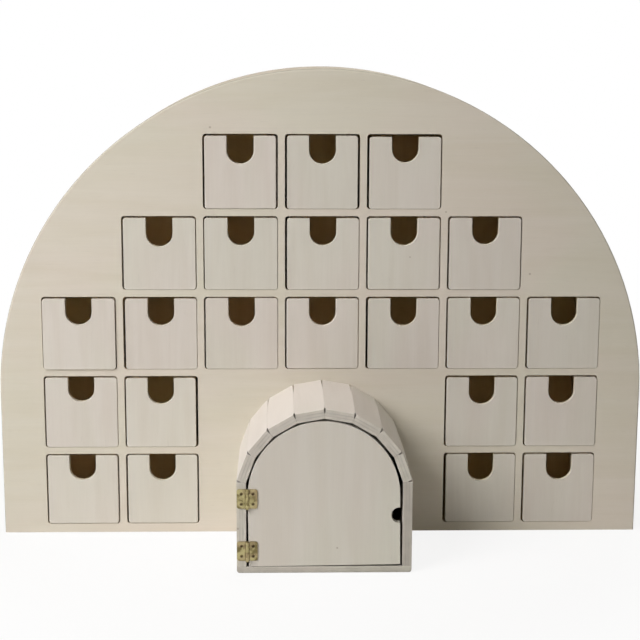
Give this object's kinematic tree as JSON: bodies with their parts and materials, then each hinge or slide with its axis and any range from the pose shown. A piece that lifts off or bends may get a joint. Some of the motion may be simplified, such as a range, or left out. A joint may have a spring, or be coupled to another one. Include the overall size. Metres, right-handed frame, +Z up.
{
  "type": "advent calendar",
  "caption": "Half-round wooden advent calendar with rows of small notched drawers in a flat front and a projecting arched porch closed by a hinged door.",
  "frame": {"origin": "middle of the underside of the half-round case, on the surface that the calendar stands on", "axes": "+X to the right seen from the front, +Y to the back, +Z up; the drawers and the porch face -Y"},
  "size_m": [0.4314, 0.1542, 0.3133],
  "materials": {
    "panel_ply": "bare sanded wood",
    "crate_ply": "bare sanded wood",
    "porch_wood": "bare sanded wood",
    "door_wood": "bare sanded wood",
    "drawer_wood": "bare sanded wood",
    "hinge_brass": "bright pressed sheet",
    "nail_brass": "bright round heads"
  },
  "bodies": {
    "case": {"front_panel": "panel_ply", "back_panel": "panel_ply", "rim": "panel_ply", "base_board": "crate_ply", "porch_left_wall": "porch_wood", "porch_right_wall": "porch_wood", "porch_floor": "porch_wood", "porch_stave_1": "porch_wood", "porch_stave_2": "porch_wood", "porch_stave_3": "porch_wood", "porch_stave_4": "porch_wood", "porch_stave_5": "porch_wood", "porch_stave_6": "porch_wood", "porch_stave_7": "porch_wood", "porch_stave_8": "porch_wood", "divider_1": "crate_ply", "divider_2": "crate_ply", "divider_3": "crate_ply", "divider_4": "crate_ply", "divider_5": "crate_ply", "divider_6": "crate_ply", "divider_7": "crate_ply", "divider_8": "crate_ply", "shelf_1_left": "crate_ply", "shelf_1_right": "crate_ply", "shelf_2": "crate_ply", "shelf_3": "crate_ply", "shelf_4": "crate_ply", "shelf_5": "crate_ply", "hinge_frame_leaves": "hinge_brass", "hinge_pins": "hinge_brass", "hinge_frame_nails": "nail_brass"},
    "door": {"door": "door_wood", "hinge_door_leaves": "hinge_brass", "hinge_door_nails": "nail_brass"},
    "drawer_row5_col1": {"drawer_row5_col1": "drawer_wood"},
    "drawer_row5_col2": {"drawer_row5_col2": "drawer_wood"},
    "drawer_row5_col6": {"drawer_row5_col6": "drawer_wood"},
    "drawer_row5_col7": {"drawer_row5_col7": "drawer_wood"},
    "drawer_row4_col1": {"drawer_row4_col1": "drawer_wood"},
    "drawer_row4_col2": {"drawer_row4_col2": "drawer_wood"},
    "drawer_row4_col6": {"drawer_row4_col6": "drawer_wood"},
    "drawer_row4_col7": {"drawer_row4_col7": "drawer_wood"},
    "drawer_row3_col1": {"drawer_row3_col1": "drawer_wood"},
    "drawer_row3_col2": {"drawer_row3_col2": "drawer_wood"},
    "drawer_row3_col3": {"drawer_row3_col3": "drawer_wood"},
    "drawer_row3_col4": {"drawer_row3_col4": "drawer_wood"},
    "drawer_row3_col5": {"drawer_row3_col5": "drawer_wood"},
    "drawer_row3_col6": {"drawer_row3_col6": "drawer_wood"},
    "drawer_row3_col7": {"drawer_row3_col7": "drawer_wood"},
    "drawer_row2_col2": {"drawer_row2_col2": "drawer_wood"},
    "drawer_row2_col3": {"drawer_row2_col3": "drawer_wood"},
    "drawer_row2_col4": {"drawer_row2_col4": "drawer_wood"},
    "drawer_row2_col5": {"drawer_row2_col5": "drawer_wood"},
    "drawer_row2_col6": {"drawer_row2_col6": "drawer_wood"},
    "drawer_row1_col3": {"drawer_row1_col3": "drawer_wood"},
    "drawer_row1_col4": {"drawer_row1_col4": "drawer_wood"},
    "drawer_row1_col5": {"drawer_row1_col5": "drawer_wood"}
  },
  "joints": [
    {"name": "door_swing", "type": "hinge", "parent": "case", "child": "door", "pos_m": [-0.0487, -0.1179, 0.03182], "axis": [0, 0, -1], "range_deg": [0, 180]},
    {"name": "drawer_row5_col1_slide", "type": "slide", "parent": "case", "child": "drawer_row5_col1", "axis": [0, -1, 0], "range_m": [0, 0.07]},
    {"name": "drawer_row5_col2_slide", "type": "slide", "parent": "case", "child": "drawer_row5_col2", "axis": [0, -1, 0], "range_m": [0, 0.07]},
    {"name": "drawer_row5_col6_slide", "type": "slide", "parent": "case", "child": "drawer_row5_col6", "axis": [0, -1, 0], "range_m": [0, 0.07]},
    {"name": "drawer_row5_col7_slide", "type": "slide", "parent": "case", "child": "drawer_row5_col7", "axis": [0, -1, 0], "range_m": [0, 0.07]},
    {"name": "drawer_row4_col1_slide", "type": "slide", "parent": "case", "child": "drawer_row4_col1", "axis": [0, -1, 0], "range_m": [0, 0.07]},
    {"name": "drawer_row4_col2_slide", "type": "slide", "parent": "case", "child": "drawer_row4_col2", "axis": [0, -1, 0], "range_m": [0, 0.07]},
    {"name": "drawer_row4_col6_slide", "type": "slide", "parent": "case", "child": "drawer_row4_col6", "axis": [0, -1, 0], "range_m": [0, 0.07]},
    {"name": "drawer_row4_col7_slide", "type": "slide", "parent": "case", "child": "drawer_row4_col7", "axis": [0, -1, 0], "range_m": [0, 0.07]},
    {"name": "drawer_row3_col1_slide", "type": "slide", "parent": "case", "child": "drawer_row3_col1", "axis": [0, -1, 0], "range_m": [0, 0.07]},
    {"name": "drawer_row3_col2_slide", "type": "slide", "parent": "case", "child": "drawer_row3_col2", "axis": [0, -1, 0], "range_m": [0, 0.07]},
    {"name": "drawer_row3_col3_slide", "type": "slide", "parent": "case", "child": "drawer_row3_col3", "axis": [0, -1, 0], "range_m": [0, 0.07]},
    {"name": "drawer_row3_col4_slide", "type": "slide", "parent": "case", "child": "drawer_row3_col4", "axis": [0, -1, 0], "range_m": [0, 0.07]},
    {"name": "drawer_row3_col5_slide", "type": "slide", "parent": "case", "child": "drawer_row3_col5", "axis": [0, -1, 0], "range_m": [0, 0.07]},
    {"name": "drawer_row3_col6_slide", "type": "slide", "parent": "case", "child": "drawer_row3_col6", "axis": [0, -1, 0], "range_m": [0, 0.07]},
    {"name": "drawer_row3_col7_slide", "type": "slide", "parent": "case", "child": "drawer_row3_col7", "axis": [0, -1, 0], "range_m": [0, 0.07]},
    {"name": "drawer_row2_col2_slide", "type": "slide", "parent": "case", "child": "drawer_row2_col2", "axis": [0, -1, 0], "range_m": [0, 0.07]},
    {"name": "drawer_row2_col3_slide", "type": "slide", "parent": "case", "child": "drawer_row2_col3", "axis": [0, -1, 0], "range_m": [0, 0.07]},
    {"name": "drawer_row2_col4_slide", "type": "slide", "parent": "case", "child": "drawer_row2_col4", "axis": [0, -1, 0], "range_m": [0, 0.07]},
    {"name": "drawer_row2_col5_slide", "type": "slide", "parent": "case", "child": "drawer_row2_col5", "axis": [0, -1, 0], "range_m": [0, 0.07]},
    {"name": "drawer_row2_col6_slide", "type": "slide", "parent": "case", "child": "drawer_row2_col6", "axis": [0, -1, 0], "range_m": [0, 0.07]},
    {"name": "drawer_row1_col3_slide", "type": "slide", "parent": "case", "child": "drawer_row1_col3", "axis": [0, -1, 0], "range_m": [0, 0.07]},
    {"name": "drawer_row1_col4_slide", "type": "slide", "parent": "case", "child": "drawer_row1_col4", "axis": [0, -1, 0], "range_m": [0, 0.07]},
    {"name": "drawer_row1_col5_slide", "type": "slide", "parent": "case", "child": "drawer_row1_col5", "axis": [0, -1, 0], "range_m": [0, 0.07]}
  ]
}
